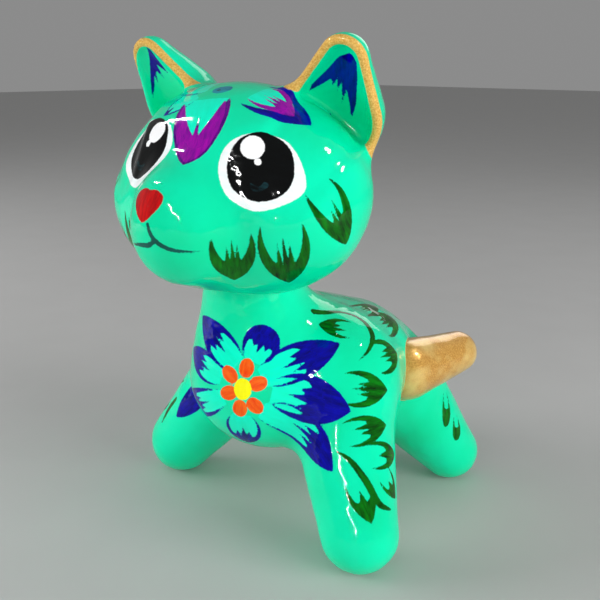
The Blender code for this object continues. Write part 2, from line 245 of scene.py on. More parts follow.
def head_form(points):
    form = head_solid(points) - eye_pad(points, 1) - eye_pad(points, -1)
    for side in (1, -1):
        form = smooth_union(form, ear_solid(points, side), EAR_BLEND)
    for side in (1, -1):
        form = smooth_cut(form, ear_dish(points, side), EAR_DISH_BLEND)
    form += hand_wobble(points, HEAD_WOBBLE)
    hollow = head_solid(points - np.array(HOLLOW_SHIFT)) + HEAD_WALL
    opening = np.maximum(upright_cylinder(points, 0.0, OPENING_RADIUS), points[:, 2] - OPENING_TOP)
    return smooth_cut(smooth_cut(form, hollow, HOLLOW_BLEND), opening, OPENING_BLEND)


def body_form(points):
    form = round_cone(points, CHEST, RUMP, CHEST_RADIUS, RUMP_RADIUS)
    for side in (1, -1):
        form = smooth_union(form, ball(points, mirrored(SHOULDER, side), SHOULDER_RADIUS), BODY_BLEND)
        form = smooth_union(form, ball(points, mirrored(HIP, side), HIP_RADIUS), BODY_BLEND)
        form = smooth_union(form, ball(points, mirrored(FLANK, side), FLANK_RADIUS), FLANK_BLEND)
    neck = round_cone(points, (0, NECK_Y, CHEST[2]), (0, NECK_Y, NECK_TAPER_END),
                      NECK_RADIUS, NECK_TOP_RADIUS)
    form = smooth_union(form, neck, BODY_BLEND)
    for side in (1, -1):
        front = round_cone(points, mirrored(SHOULDER, side), mirrored(FRONT_FOOT, side),
                           FRONT_THIGH, FRONT_FOOT_RADIUS)
        rear = round_cone(points, mirrored(REAR_THIGH_ROOT, side), mirrored(REAR_FOOT, side),
                          REAR_THIGH, REAR_FOOT_RADIUS)
        form = smooth_union(form, front, LEG_BLEND)
        form = smooth_union(form, rear, LEG_BLEND)
    tail_core = round_cone(points, TAIL_ROOT, TAIL_END,
                           TAIL_ROOT_RADIUS - TAIL_CORE_INSET, TAIL_CORE_END_RADIUS)
    form = smooth_union(form, tail_core, TAIL_BLEND)
    form += hand_wobble(points, BODY_WOBBLE)
    bore = np.maximum(upright_cylinder(points, NECK_Y, NECK_BORE), NECK_BORE_FLOOR - points[:, 2])
    form = smooth_cut(form, NECK_TOP - points[:, 2], NECK_TOP_BLEND)
    form = smooth_cut(form, bore, NECK_BORE_BLEND)
    return smooth_cut(form, points[:, 2], FOOT_BLEND)


def tail_form(points):
    form = round_cone(points, TAIL_ROOT, TAIL_END, TAIL_ROOT_RADIUS, TAIL_END_RADIUS)
    return form + hand_wobble(points, TAIL_WOBBLE)


# ---------------------------------------------------------------- meshing a field

def grid_values(form, axes):
    """The field on a grid, worked out one slab at a time."""
    y, z = np.meshgrid(axes[1], axes[2], indexing="ij")
    values = np.empty((len(axes[0]), *y.shape))
    slab = 12
    for first in range(0, len(axes[0]), slab):
        xs = axes[0][first:first + slab]
        points = np.stack([np.repeat(xs, y.size), np.tile(y.ravel(), len(xs)),
                           np.tile(z.ravel(), len(xs))], axis=1)
        values[first:first + slab] = form(points).reshape(len(xs), *y.shape)
    return values


def surface_net(form, low, high, step):
    """Quads of the field's zero surface: one point in each grid cell that the surface crosses."""
    axes = [np.arange(low[i], high[i] + step, step) for i in range(3)]
    values = grid_values(form, axes)
    cells = tuple(n - 1 for n in values.shape)
    total = np.zeros((*cells, 3))
    count = np.zeros(cells)
    crossings = []
    for axis in range(3):
        lower = [slice(None)] * 3
        upper = [slice(None)] * 3
        lower[axis] = slice(0, -1)
        upper[axis] = slice(1, None)
        start, end = values[tuple(lower)], values[tuple(upper)]
        crossed = (start < 0) != (end < 0)
        crossings.append((crossed, start < 0))
        share = np.where(crossed, start / np.where(crossed, start - end, 1.0), 0.0)
        others = [i for i in range(3) if i != axis]
        for a in (0, 1):
            for b in (0, 1):
                pick = [slice(None)] * 3
                pick[others[0]] = slice(a, a + cells[others[0]])
                pick[others[1]] = slice(b, b + cells[others[1]])
                hit = crossed[tuple(pick)]
                count += hit
                total[..., axis] += hit * share[tuple(pick)]
                total[..., others[0]] += hit * a
                total[..., others[1]] += hit * b
    number = -np.ones(cells, int)
    used = count > 0
    number[used] = np.arange(used.sum())
    corner = np.argwhere(used)
    points = np.array(low) + step * (corner + total[used] / count[used][:, None])
    quads = []
    for axis in range(3):
        crossed, inside = crossings[axis]
        b, c = (axis + 1) % 3, (axis + 2) % 3
        at = np.argwhere(crossed)
        at = at[(at[:, b] > 0) & (at[:, c] > 0) & (at[:, b] < cells[b]) & (at[:, c] < cells[c])]
        around = []
        for db, dc in ((1, 1), (0, 1), (0, 0), (1, 0)):
            cell = at.copy()
            cell[:, b] -= db
            cell[:, c] -= dc
            around.append(number[tuple(cell.T)])
        around = np.array(around).T
        outward = inside[tuple(at.T)]
        quads.append(np.where(outward[:, None], around, around[:, ::-1]))
    return points, np.concatenate(quads)


def edges_of(quads):
    pairs = np.concatenate([quads[:, [i, (i + 1) % 4]] for i in range(4)])
    pairs.sort(axis=1)
    return pairs


def relaxed(points, quads, share):
    """Each point moves some way to the middle of its neighbours."""
    pairs = np.unique(edges_of(quads), axis=0)
    total = np.zeros_like(points)
    count = np.zeros(len(points))
    for a, b in ((0, 1), (1, 0)):
        np.add.at(total, pairs[:, a], points[pairs[:, b]])
        np.add.at(count, pairs[:, a], 1)
    return points + share * (total / count[:, None] - points)


def slope_of(form, points, reach=0.05):
    parts = []
    for axis in range(3):
        step = np.zeros(3)
        step[axis] = reach
        parts.append((form(points + step) - form(points - step)) / (2 * reach))
    return np.stack(parts, axis=1)


def drawn_to(form, points, limit):
    """One Newton step onto the field's zero surface, no longer than the limit."""
    slope = slope_of(form, points)
    move = form(points)[:, None] * slope / ((slope ** 2).sum(axis=1)[:, None] + 1e-6)
    length = np.linalg.norm(move, axis=1)[:, None]
    return points - move * np.minimum(1.0, limit / (length + 1e-9))


def subdivided(points, quads):
    """Each quad becomes four."""
    pairs = edges_of(quads)
    unique, place = np.unique(pairs, axis=0, return_inverse=True)
    place = place.reshape(-1)
    middles = points[unique].mean(axis=1)
    centres = points[quads].mean(axis=1)
    n, m, q = len(points), len(unique), len(quads)
    edge = [n + place[i * q:(i + 1) * q] for i in range(4)]
    centre = n + m + np.arange(q)
    made = [np.stack([quads[:, i], edge[i], centre, edge[(i + 3) % 4]], axis=1)
            for i in range(4)]
    return np.concatenate([points, middles, centres]), np.concatenate(made)


def skin(form, grid, step):
    """A fine, even quad mesh of the field's surface inside the grid's box."""
    points, quads = surface_net(form, *grid, step)
    for _ in range(3):
        points = relaxed(points, quads, RELAX_SHARE)
        points = drawn_to(form, points, step)
    points, quads = subdivided(points, quads)
    points = relaxed(points, quads, RELAX_SHARE)
    for _ in range(2):
        points = drawn_to(form, points, step)
    return points, quads


def mesh_object(name, points, quads):
    mesh = bpy.data.meshes.new(name)
    mesh.vertices.add(len(points))
    mesh.vertices.foreach_set("co", (points * MM).astype(np.float32).ravel())
    mesh.loops.add(quads.size)
    mesh.loops.foreach_set("vertex_index", quads.astype(np.int32).ravel())
    mesh.polygons.add(len(quads))
    mesh.polygons.foreach_set("loop_start", np.arange(0, quads.size, 4, dtype=np.int32))
    mesh.update(calc_edges=True)
    mesh.validate()
    mesh.shade_smooth()
    piece = bpy.data.objects.new(name, mesh)
    bpy.context.scene.collection.objects.link(piece)
    return piece


# ---------------------------------------------------------------- paint

FAR = 5.0                         # a layer's value where its paint is far away (mm)
RAY_START = 94.0                  # a look at the skin starts this far from the middle
RAY_LENGTH = 95.0
RAY_STEP = 0.5
NORMAL_REACH = 0.6                # the normal under a stroke is read over this length
STROKE_MARGIN = 3.0               # skin round a stroke that its distances reach
STROKE_OFFSET = 7.3               # sets each stroke's brush marks apart from the last one's
GLOW_WIDTH = 0.97                 # a petal's paler ground, as a share of the petal's width
TOOTH_UNEVENNESS = 0.07           # how unequal a leaf's short teeth are, as a share of its length


def direction(bearing, rise):
    """A unit vector, in degrees from straight ahead (-Y) towards the cat's left, and up."""
    bearing, rise = math.radians(bearing), math.radians(rise)
    return np.array((math.sin(bearing) * math.cos(rise), -math.cos(bearing) * math.cos(rise),
                     math.sin(rise)))


def outline_distance(at, corners):
    """Distance in the plane to a closed outline, negative inside."""
    best = np.full(len(at), 1e9)
    inside = np.zeros(len(at), bool)
    for start, end in zip(corners, np.roll(corners, -1, axis=0)):
        edge = end - start
        offset = at - start
        along = np.clip(offset @ edge / (edge @ edge + 1e-12), 0.0, 1.0)
        best = np.minimum(best, np.linalg.norm(offset - along[:, None] * edge, axis=1))
        straddles = (start[1] > at[:, 1]) != (end[1] > at[:, 1])
        rise = edge[1] if abs(edge[1]) > 1e-12 else 1e-12
        inside ^= straddles & (at[:, 0] < start[0] + (at[:, 1] - start[1]) * edge[0] / rise)
    return np.where(inside, -best, best)


def curve_point(a, b, c, d, t):
    """A point of the Catmull-Rom curve between b and c."""
    return 0.5 * (2 * b + (c - a) * t + (2 * a - 5 * b + 4 * c - d) * t * t
                  + (3 * b - a - 3 * c + d) * t ** 3)


def smooth_line(controls, steps=8):
    """Points of a smooth curve through the controls."""
    controls = np.array(controls, float)
    padded = np.concatenate([[2 * controls[0] - controls[1]], controls,
                             [2 * controls[-1] - controls[-2]]])
    made = []
    for a, b, c, d in zip(padded, padded[1:], padded[2:], padded[3:]):
        for t in np.arange(steps) / steps:
            made.append(curve_point(a, b, c, d, t))
    made.append(controls[-1])
    return np.array(made)


def smooth_outline(controls, steps=6):
    """Points of a smooth closed curve through the controls."""
    controls = [np.array(c, float) for c in controls]
    count = len(controls)
    made = []
    for i in range(count):
        a, b, c, d = (controls[(i + k) % count] for k in (-1, 0, 1, 2))
        for t in np.arange(steps) / steps:
            made.append(curve_point(a, b, c, d, t))
    return np.array(made)


def leaf_edge(spread, blunt, steps=14):
    """Half of a leaf's outline from root to tip, as places along it (0 to 1) and half widths (0 to 1)."""
    t = np.linspace(0.0, 1.0, steps)
    a, b, c, d = (1 - t) ** 3, 3 * t * (1 - t) ** 2, 3 * t * t * (1 - t), t ** 3
    return 0.3 * b + (0.72 + 0.28 * blunt) * c + d, spread * a + 1.22 * b + (1.0 + 0.1 * blunt) * c


def comb_outline(teeth, valley, tooth, rim, spread, blunt):
    """A brushed leaf: a solid tip, two long outer tines along its edges, and short teeth between them."""
    places, widths = leaf_edge(spread, blunt)
    back = np.linspace(0.0, 0.92, 7) * valley
    inner = np.interp(back, places, widths) - rim * (back / valley) ** 0.8
    reach = inner[-1]
    right = list(zip(places, widths))
    left = [(x, -y) for x, y in reversed(right)]
    jagged = [(x, -y) for x, y in zip(back, inner)][1:]
    for i in range(teeth + 1):
        notch = -reach * (1 - (2 * i + 1) / (teeth + 1))
        jagged.append((valley * (1.0 + TOOTH_UNEVENNESS * math.sin(2.3 * i)), notch))
        if i < teeth:
            peak = -reach * (1 - (2 * i + 2) / (teeth + 1))
            jagged.append((tooth + TOOTH_UNEVENNESS * math.sin(3.7 * i + 1.0), peak))
    jagged += list(zip(back, inner))[:0:-1]
    return np.array(right + left[1:] + jagged)


class Canvas:
    """The paint on one skin."""

    def __init__(self, form, middle, points):
        self.form, self.middle, self.points = form, np.array(middle), points
        slope = slope_of(form, points)
        self.normals = slope / np.linalg.norm(slope, axis=1)[:, None]
        self.layers = {}
        self.brush = np.zeros((len(points), 3))
        self.nearest = np.full(len(points), FAR)
        self.strokes = 0

    def meet(self, start, ray):
        """Where a line from outside first meets the form."""
        lengths = np.arange(0.0, RAY_LENGTH, RAY_STEP)
        inside = self.form(start + ray * lengths[:, None]) < 0
        far = lengths[np.argmax(inside)]
        near = far - RAY_STEP
        for _ in range(12):
            half = (near + far) / 2
            if self.form((start + ray * half)[None])[0] < 0:
                far = half
            else:
                near = half
        return start + ray * near

    def spot(self, bearing, rise):
        """The point of the skin in this direction from the middle."""
        return self.over(self.middle + direction(bearing, rise))

    def over(self, point):
        """The point of the skin seen from the middle in the direction of another point."""
        outward = (point - self.middle) / np.linalg.norm(point - self.middle)
        return self.meet(self.middle + outward * RAY_START, -outward)

    def chart(self, anchor, ahead, reach, extra=()):
        """Flat coordinates round the anchor, true in length along lines from it."""
        for _ in range(3):
            anchor = drawn_to(self.form, anchor[None], 4.0)[0]
        normal = slope_of(self.form, anchor[None], NORMAL_REACH)[0]
        normal /= np.linalg.norm(normal)
        x = ahead - normal * (ahead @ normal)
        x /= np.linalg.norm(x)
        y = np.cross(normal, x)

        def flatten(points):
            offset = points - anchor
            flat = np.stack([offset @ x, offset @ y], axis=1)
            stretch = np.linalg.norm(offset, axis=1) / (np.linalg.norm(flat, axis=1) + 1e-9)
            return flat * stretch[:, None]

        close = np.linalg.norm(self.points - anchor, axis=1) < reach
        near = np.where(close & (self.normals @ normal > -0.2))[0]
        return near, flatten(self.points[near]), flatten(np.array(extra).reshape(-1, 3))

    def add(self, layer, near, distance, along, across):
        values = self.layers.setdefault(layer, np.full(len(self.points), FAR))
        values[near] = np.minimum(values[near], distance)
        closer = distance < self.nearest[near]
        self.strokes += 1
        mine = near[closer]
        self.nearest[mine] = distance[closer]
        self.brush[mine] = np.stack([along[closer], across[closer],
                                     np.full(len(mine), STROKE_OFFSET * self.strokes)], axis=1)

    def leaf(self, layer, root, tip, width, teeth=2, valley=0.55, tooth=0.25, rim=0.5, spread=0.8,
             blunt=0.0, bend=0.0, glow=None):
        """A comb leaf or petal from root to tip. Its glow is a paler ground inside its edges."""
        length = np.linalg.norm(tip - root)
        middle = self.over((root + tip) / 2)
        near, flat, ends = self.chart(middle, tip - root, 0.75 * length + width, (root, tip))
        axis = ends[1] - ends[0]
        length = np.linalg.norm(axis)
        axis /= length
        offset = flat - ends[0]
        along = offset @ axis
        across = offset @ np.array((-axis[1], axis[0]))
        share = np.clip(along / length, 0.0, 1.0)
        across = across - 4 * bend * length * share * (1 - share)
        at = np.stack([along, across], axis=1)
        scale = np.array((length, width / 2))
        if glow:
            places, widths = leaf_edge(spread, blunt)
            right = [(x, y * GLOW_WIDTH) for x, y in zip(places, widths)]
            left = [(x, -y) for x, y in reversed(right)]
            edge = np.array(right + left[1:])
            self.add(glow, near, outline_distance(at, edge * scale), along, across)
        outline = comb_outline(teeth, valley, tooth, rim, spread, blunt) * scale
        self.add(layer, near, outline_distance(at, outline), along, across)

    def oval(self, layer, centre, towards, length, width):
        """An oval dab, its long axis towards another point."""
        near, flat, _ = self.chart(centre, towards - centre, length + STROKE_MARGIN)
        radii = np.array((length / 2, width / 2))
        stretch = np.linalg.norm(flat / radii, axis=1)
        slope = np.linalg.norm(flat / radii ** 2, axis=1) + 1e-9
        self.add(layer, near, stretch * (stretch - 1) / slope, flat[:, 0], flat[:, 1])

    def outline(self, layer, centre, ahead, corners):
        """A shape of its own, its corners given (ahead, to the left) from the centre."""
        corners = np.array(corners, float)
        reach = np.linalg.norm(corners, axis=1).max() + STROKE_MARGIN
        near, flat, _ = self.chart(centre, ahead, reach)
        self.add(layer, near, outline_distance(flat, corners), flat[:, 0], flat[:, 1])

    def line(self, layer, spots, widths):
        """A brush line through points of the skin, with its width at each."""
        spots = np.array(spots)
        middle = spots[len(spots) // 2]
        reach = np.linalg.norm(spots - middle, axis=1).max() + STROKE_MARGIN
        near, flat, places = self.chart(middle, spots[-1] - spots[0], reach, spots)
        route = smooth_line(np.column_stack([places, np.array(widths) / 2]))
        best = np.full(len(flat), 1e9)
        along = np.zeros(len(flat))
        travelled = 0.0
        for start, end in zip(route, route[1:]):
            edge = end[:2] - start[:2]
            share = np.clip((flat - start[:2]) @ edge / (edge @ edge + 1e-12), 0.0, 1.0)
            half = start[2] + (end[2] - start[2]) * share
            distance = np.linalg.norm(flat - start[:2] - share[:, None] * edge, axis=1) - half
            along = np.where(distance < best, travelled + share * np.linalg.norm(edge), along)
            best = np.minimum(best, distance)
            travelled += np.linalg.norm(edge)
        self.add(layer, near, best, along, best)

    def field(self, layer, distance):
        """Paint up to a distance field's zero, such as a gold rim."""
        everywhere = np.arange(len(self.points))
        self.add(layer, everywhere, distance, self.points[:, 2], self.points[:, 0])

    def store(self, mesh):
        for layer, values in self.layers.items():
            mesh.attributes.new(layer, "FLOAT", "POINT").data.foreach_set(
                "value", np.clip(values, -FAR, FAR).astype(np.float32))
        mesh.attributes.new("brush", "FLOAT_VECTOR", "POINT").data.foreach_set(
            "vector", self.brush.astype(np.float32).ravel())


# ---------------------------------------------------------------- the painted design

def paint_eye(canvas, side, centre):
    """White, black iris and the highlights painted on it, leaning towards the nose."""
    outward = np.array((side, 0.0, 0.0))

    def on_face(corners):
        """Corners given (outward, up), for the chart's (ahead, left)."""
        return [(x, y * side) for x, y in corners]

    white = [(9.9, -2.0), (7.2, -5.8), (1.0, -8.9), (-5.4, -7.0), (-8.6, -1.6), (-7.9, 3.4),
             (-3.5, 6.6), (3.0, 7.0), (7.4, 3.4)]
    canvas.outline("white", centre, outward, on_face(smooth_outline(white)))
    black = [(7.1, -0.6), (5.4, -4.8), (0.6, -7.0), (-4.6, -5.4), (-7.0, -0.4), (-5.6, 5.0),
             (-0.6, 7.5), (4.9, 5.2)]
    canvas.outline("black", centre, outward, on_face(smooth_outline(black)))
    # A dark teal crescent low in the black, partly see-through
    low_teal_crescent = [(2.6, -3.3), (1.4, -4.6), (-0.4, -5.0), (-1.2, -3.6), (0.6, -3.9), (1.6, -2.7)]
    canvas.outline("low_teal_crescent", centre, outward, on_face(smooth_outline(low_teal_crescent)))
    for across, up, radius in ((-2.6, 3.7, 2.5), (-0.8, 1.0, 0.75)):
        ring = np.linspace(0, 2 * math.pi, 24, endpoint=False)
        canvas.outline("spark", centre, outward, on_face(
            [(across + radius * math.cos(a), up + radius * math.sin(a)) for a in ring]))


def paint_face(canvas):
    paint_eye(canvas, 1, canvas.spot(45.5, 15.0))
    paint_eye(canvas, -1, canvas.spot(-35.5, 21.5))
    up = np.array((0.0, 0.0, 1.0))
    nose = [(-4.3, -1.0), (-1.0, -4.0), (1.4, -4.1), (2.5, -1.9), (2.2, 0.0), (2.5, 1.9),
            (1.4, 4.3), (-1.0, 4.1), (-4.3, 1.0)]
    canvas.outline("red", canvas.spot(-3.7, 0.0), up, smooth_outline(nose))
    spot = canvas.spot
    left_lip = [(-1.0, -8.4), (0.2, -11.5), (2.6, -14.4), (8.7, -17.2), (20.0, -19.4)]
    right_lip = [(2.0, -14.3), (-1.6, -16.2), (-6.5, -16.8), (-13, -17.8)]
    canvas.line("teal", [spot(*at) for at in left_lip], [0.8, 1.0, 1.1, 0.9, 0.3])
    canvas.line("teal", [spot(*at) for at in right_lip], [0.8, 1.1, 0.9, 0.3])


def paint_cheeks(canvas):
    """Leaves round the head, given by root, tip, width, teeth, valley, tooth, rim and spread."""
    leaves = [((31, -14), (31, -39.5), 9.5, 3, 0.5, 0.14, 0.55, 0.85),
              ((52, -9), (60.5, -37.5), 10.8, 3, 0.56, 0.16, 0.5, 0.8),
              ((67, 6.0), (80, -17.5), 8.8, 2, 0.56, 0.3, 0.55, 0.7),
              ((112, -6), (122, -28), 9.6, 3, 0.54, 0.16, 0.5, 0.8),
              ((146, 2), (156, -22), 9.6, 3, 0.54, 0.16, 0.5, 0.8)]
    for side in (1, -1):
        for root, tip, width, teeth, valley, tooth, rim, spread in leaves:
            canvas.leaf("green", canvas.spot(side * root[0], root[1]), canvas.spot(side * tip[0], tip[1]),
                        width, teeth=teeth, valley=valley, tooth=tooth, rim=rim, spread=spread)


def paint_crown(canvas):
    """A flower of comb petals round the dot on the crown."""
    spot = canvas.spot
    canvas.oval("crown_dot", spot(5, 69.8), spot(80, 60), 4.6, 3.6)
    canvas.oval("black", spot(0, 68.8), spot(80, 60), 0.9, 0.7)
    canvas.leaf("indigo", spot(-4, 59), spot(5.5, 15.6), 13.0, teeth=1, valley=0.56, tooth=0.22,
                rim=0.78, spread=0.9, bend=0.03, glow="glow")
    canvas.leaf("purple", spot(-3.8, 57), spot(5.7, 17.0), 11.4, teeth=1, valley=0.58, tooth=0.26,
                rim=0.78, spread=0.9, bend=0.03)
    canvas.leaf("purple", spot(55, 62), spot(70, 39), 8.0, teeth=3, valley=0.62, tooth=0.2,
                rim=0.4, spread=0.8, glow="glow")
    canvas.leaf("blue", spot(50, 63), spot(76, 32), 10.8, teeth=3, valley=0.6, tooth=0.36,
                rim=0.46, spread=0.9, bend=-0.02)
    canvas.leaf("blue", spot(-30, 62), spot(-38, 41), 6.6, teeth=1, valley=0.85, tooth=0.5,
                rim=0.22, spread=0.9, glow="glow")
    canvas.leaf("crown_dot", spot(-30, 73), spot(-66, 54), 8.0, teeth=3, valley=0.7, tooth=0.3,
                rim=0.3, glow="glow")
    for bearing in (122, 168, -146):
        canvas.leaf("blue", spot(bearing, 62), spot(bearing + 6, 30), 10.4, teeth=3, valley=0.55,
                    rim=0.4, glow="glow")
        canvas.leaf("purple", spot(bearing + 1, 50), spot(bearing + 5, 36), 6.0, teeth=2,
                    valley=0.5, rim=0.5)


TUFT_HEIGHT = 8.0                 # the blue tufts are drawn round this height in the ears' dishes
LOOK_FROM = 25.0                  # a look into a dish starts this far ahead of it


def ear_spot(canvas, side, outward, height):
    """A point inside an ear's dish."""
    root, tip = np.array(mirrored(EAR_ROOT, side)), np.array(mirrored(EAR_TIP, side))
    rise = (tip - root) / np.linalg.norm(tip - root)
    across = np.cross(rise, ear_outlook(side)) * side
    start = root + rise * height + across * outward + ear_outlook(side) * LOOK_FROM
    return canvas.meet(start, -ear_outlook(side))


def paint_ears(canvas):
    """Gold rims, and a tuft of blue strokes in each dish, its corners given (height, outwards)."""
    near_tuft = [(15.4, 1.2), (13.4, -1.4), (9.6, -3.6), (5.2, -6.6), (3.2, -7.0), (5.6, -4.2),
                 (7.4, -2.6), (5.2, -2.2), (8.0, -1.2), (4.0, -1.1), (7.6, -0.2), (1.2, 0.2),
                 (5.6, 1.0), (-1.6, 3.1), (3.0, 3.6), (10.0, 3.4), (14.0, 2.9)]
    far_tuft = [(17.4, -2.6), (15.6, -0.6), (12.6, 2.2), (9.4, 5.2), (5.2, 8.0), (7.8, 5.4), (10.2, 3.2),
                (7.9, 4.0), (11.0, 1.9), (8.0, 1.6), (12.0, 0.4), (8.4, -1.0), (13.2, -1.4)]
    for side, tuft in ((1, near_tuft), (-1, far_tuft)):
        root, tip = np.array(mirrored(EAR_ROOT, side)), np.array(mirrored(EAR_TIP, side))
        corners = [(height - TUFT_HEIGHT, -outwards * side) for height, outwards in tuft]
        canvas.outline("blue", ear_spot(canvas, side, 0.0, TUFT_HEIGHT), tip - root, corners)
        ahead = ear_ahead(canvas.points, side)
        rim = np.maximum(-ear_cone(canvas.points, side, EAR_RIM - GOLD_INSIDE),
                         EAR_RIM_AHEAD - GOLD_LINE - ahead)
        if side < 0:
            rise = (tip - root) / np.linalg.norm(tip - root)
            outwards = (canvas.points - root) @ (np.cross(rise, ear_outlook(side)) * side)
            below = FAR_GOLD_END - (canvas.points - root) @ rise
            fading = np.clip(below * FAR_GOLD_TAPER, 0.0, FAR)
            rim = np.where(outwards > 0, rim + fading, rim)
        canvas.field("gold", np.maximum(rim, GOLD_OFF_HEAD - head_solid(canvas.points)))


def paint_flower(canvas):
    """The large flower on the chest, its petals given by root, tip, width, valley, rim and bluntness."""
    spot = canvas.spot
    petals = [((18.7, 24.5), (-10, 39.5), 9.0, 0.5, 0.30, 0.0),
              ((11, 17), (-18.5, 24), 8.0, 0.5, 0.3, 0.0),
              ((12, 8), (-40, -10), 8.6, 0.42, 0.34, 0.0),
              ((26, 27), (33.5, 43), 9.0, 0.5, 0.3, 1.0),
              ((31, 20), (75, 35), 9.6, 0.52, 0.26, 0.1),
              ((36.5, 14), (73, 4.5), 12.4, 0.45, 0.3, 0.15),
              ((31, 3), (62.5, -16), 10.0, 0.62, 0.24, 0.0),
              ((21, 0), (14, -27), 9.5, 0.62, 0.26, 0.0)]
    for root, tip, width, valley, rim, blunt in petals:
        canvas.leaf("blue", spot(*root), spot(*tip), width, teeth=3, valley=valley,
                    tooth=valley * 0.6, rim=rim, spread=0.45, blunt=blunt, glow="glow")
    canvas.leaf("blue", spot(-50, -10), spot(-58, -24), 6.5, teeth=1, valley=0.3, tooth=0.15, rim=0.6)
    centre = spot(22, 13.5)
    dabs = ((23.4, 23.6), (15.2, 19.4), (29.4, 17.0), (15, 10.6), (20.4, 3.4), (28.0, 5.6))
    for bearing, rise in dabs:
        canvas.oval("orange", spot(bearing, rise), centre, 4.6, 3.5)
    canvas.oval("yellow", centre, spot(22, 30), 5.2, 4.2)


def paint_garland(canvas, side):
    """The green garland from the shoulder down the front leg, and the dabs on the hind leg."""
    def spot(bearing, rise):
        return canvas.spot(side * bearing, rise)

    upper_stem = [(65, 55), (78, 54.5), (93, 52), (100, 44), (97, 35), (89, 29), (81, 25)]
    lower_stem = [(65, -10), (69, -12), (72.5, -16.5), (75, -21), (79, -23.5)]
    canvas.line("green", [spot(*at) for at in upper_stem], [1.4, 1.5, 1.0, 1.2, 1.5, 0.9, 0.2])
    canvas.line("green", [spot(*at) for at in lower_stem], [0.4, 1.2, 1.7, 1.6, 0.6])
    leaves = [((86, 40), (66, 47.5), 6.0, 2),
              ((112, 50), (158, 36), 6.0, 3),
              ((112, 37), (150, 28), 8.4, 3),
              ((90, 24), (110, 22), 8.6, 3),
              ((71, 14.5), (92.5, 9.5), 8.4, 3),
              ((69, -4.5), (88.5, -3.8), 6.8, 2),
              ((75.5, -11), (91, -15.5), 6.4, 1),
              ((69, -16), (71, -23.8), 6.2, 1),
              ((80, -16), (84, -24), 5.4, 1)]
    for root, tip, width, teeth in leaves:
        canvas.leaf("green", spot(*root), spot(*tip), width, teeth=teeth, valley=0.52, tooth=0.2,
                    rim=0.42, spread=0.8)
    for root, tip in (((148, -9.5), (143, -21)), ((147, -17), (144, -24.5))):
        canvas.leaf("green", spot(*root), spot(*tip), 3.4, teeth=0, valley=0.5, rim=0.5,
                    spread=0.4, blunt=0.9)


def paint_back(canvas):
    """Leaves along the spine and the rump, and a stroke on the right foreleg."""
    spot = canvas.spot
    for side in (1, -1):
        canvas.leaf("green", spot(side * 168, 30), spot(side * 176, 8), 7.5, teeth=2, valley=0.55,
                    rim=0.42)
        canvas.leaf("green", spot(side * 165, -2), spot(side * 160, -18), 6.5, teeth=2, valley=0.55,
                    rim=0.42)
    canvas.line("green", [spot(-62, -17), spot(-63, -21), spot(-62, -25)], [1.2, 1.6, 0.4])


SRGB_TOE = 10 / 255               # below this share the sRGB curve is straight


def srgb(red, green, blue):
    """A linear colour from 8-bit sRGB values."""
    shares = (red / 255, green / 255, blue / 255)
    return tuple(c / 12.92 if c <= SRGB_TOE else ((c + 0.055) / 1.055) ** 2.4 for c in shares)


# Each paint's two shades, between which its brush marks vary, and how much it covers
PAINTS = {
    "glow": (srgb(0, 244, 200), srgb(0, 252, 214), 0.85),
    "green": (srgb(0, 44, 0), srgb(0, 120, 12), 1.0),
    "blue": (srgb(1, 1, 104), srgb(3, 5, 168), 1.0),
    "indigo": (srgb(10, 3, 100), srgb(120, 4, 150), 1.0),
    "purple": (srgb(104, 3, 140), srgb(172, 2, 172), 1.0),
    "crown_dot": (srgb(0, 96, 136), srgb(0, 176, 190), 1.0),
    "orange": (srgb(238, 62, 6), srgb(250, 112, 22), 1.0),
    "yellow": (srgb(246, 238, 2), srgb(255, 252, 12), 1.0),
    "white": (srgb(236, 248, 248), srgb(252, 253, 254), 1.0),
    "black": (srgb(1, 2, 2), srgb(3, 5, 6), 1.0),
    # a dark teal crescent low in each eye's black, covering 0.8
    "low_teal_crescent": (srgb(1, 4, 6), srgb(24, 62, 68), 0.8),
    "spark": (srgb(250, 252, 254), srgb(254, 254, 254), 1.0),
    "red": (srgb(150, 8, 14), srgb(212, 10, 12), 1.0),
    "teal": (srgb(0, 40, 44), srgb(0, 76, 74), 0.95),
    "gold": (srgb(196, 140, 52), srgb(238, 200, 112), 1.0),
}


# ---------------------------------------------------------------- materials

